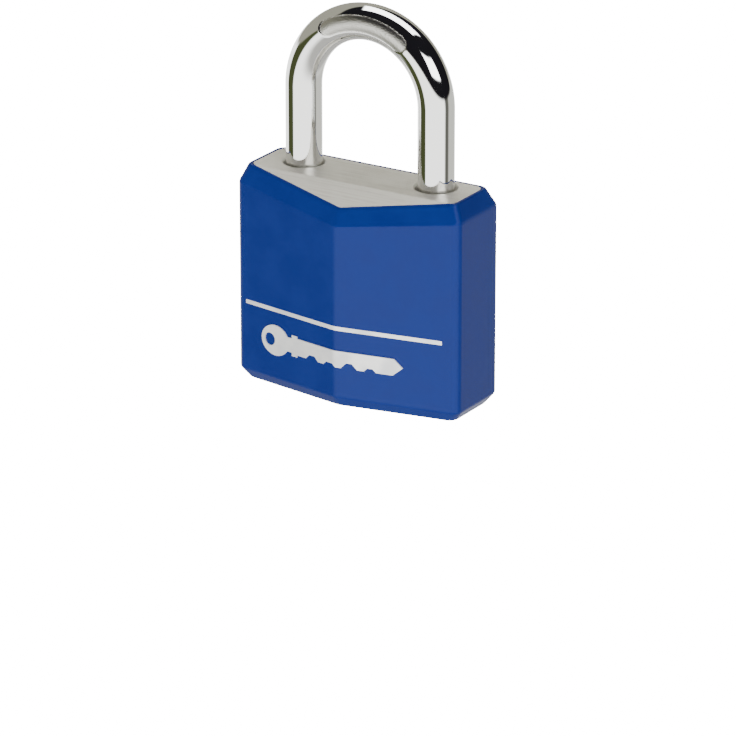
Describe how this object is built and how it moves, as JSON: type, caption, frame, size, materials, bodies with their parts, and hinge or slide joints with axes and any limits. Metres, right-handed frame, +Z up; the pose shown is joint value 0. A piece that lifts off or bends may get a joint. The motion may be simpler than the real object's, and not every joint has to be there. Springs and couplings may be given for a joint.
{
  "type": "padlock",
  "caption": "Covered padlock: solid aluminium body in a moulded vinyl jacket, chromed steel shackle on two latches, pin cylinder at the bottom.",
  "frame": {"origin": "middle of the bounding box's bottom face: the middle of the padlock's flat bottom", "axes": "+X across the body from the heel leg to the toe leg, +Y out of the flat back, +Z up the shackle"},
  "size_m": [0.0444, 0.0174, 0.069],
  "materials": {
    "vinyl": "satin blue vinyl with a very fine moulded texture",
    "aluminium": "fine milled, slightly warm grey",
    "chrome": "bright chrome plate on steel",
    "brass": "turned brass",
    "steel": "hardened and ground",
    "spring_wire": "drawn spring wire"
  },
  "bodies": {
    "case": {"vinyl_jacket": "vinyl", "body_block": "aluminium", "latch_cover": "steel", "heel_pin": "steel", "plug_pin": "steel", "shackle_spring": "spring_wire", "cam_spring": "spring_wire", "driver_pin_1": "steel", "driver_pin_2": "steel", "driver_pin_3": "steel", "driver_pin_4": "steel", "pin_spring_1": "spring_wire", "pin_spring_2": "spring_wire", "pin_spring_3": "spring_wire", "pin_spring_4": "spring_wire", "chamber_plug_1": "aluminium", "chamber_plug_2": "aluminium", "chamber_plug_3": "aluminium", "chamber_plug_4": "aluminium"},
    "shackle": {"shackle": "chrome"},
    "plug": {"plug": "brass", "cam": "steel", "key_pin_1": "brass", "key_pin_2": "brass", "key_pin_3": "brass", "key_pin_4": "brass"},
    "toe_latch": {"toe_latch": "steel"},
    "heel_latch": {"heel_latch": "steel"}
  },
  "joints": [
    {"name": "plug_turn", "type": "hinge", "parent": "case", "child": "plug", "pos_m": [0, 0, 0.014], "axis": [0, 0, 1], "range_deg": [0, 90]},
    {"name": "toe_latch_slide", "type": "slide", "parent": "case", "child": "toe_latch", "axis": [-1, 0, 0], "range_m": [0, 0.00425]},
    {"name": "heel_latch_slide", "type": "slide", "parent": "case", "child": "heel_latch", "axis": [1, 0, 0], "range_m": [0, 0.00425]},
    {"name": "shackle_lift", "type": "slide", "parent": "case", "child": "shackle", "axis": [0, 0, 1], "range_m": [0, 0.01], "stiffness_N_per_m": 200, "springref_m": -0.003, "deforming": ["shackle_spring"]}
  ],
  "couplings": [
    {"joint": "toe_latch_slide", "follows": "shackle_lift", "ratio": 0.4241},
    {"joint": "heel_latch_slide", "follows": "shackle_lift", "ratio": 0.4241},
    {"joint": "plug_turn", "follows": "shackle_lift", "rad_per_m": 157}
  ]
}
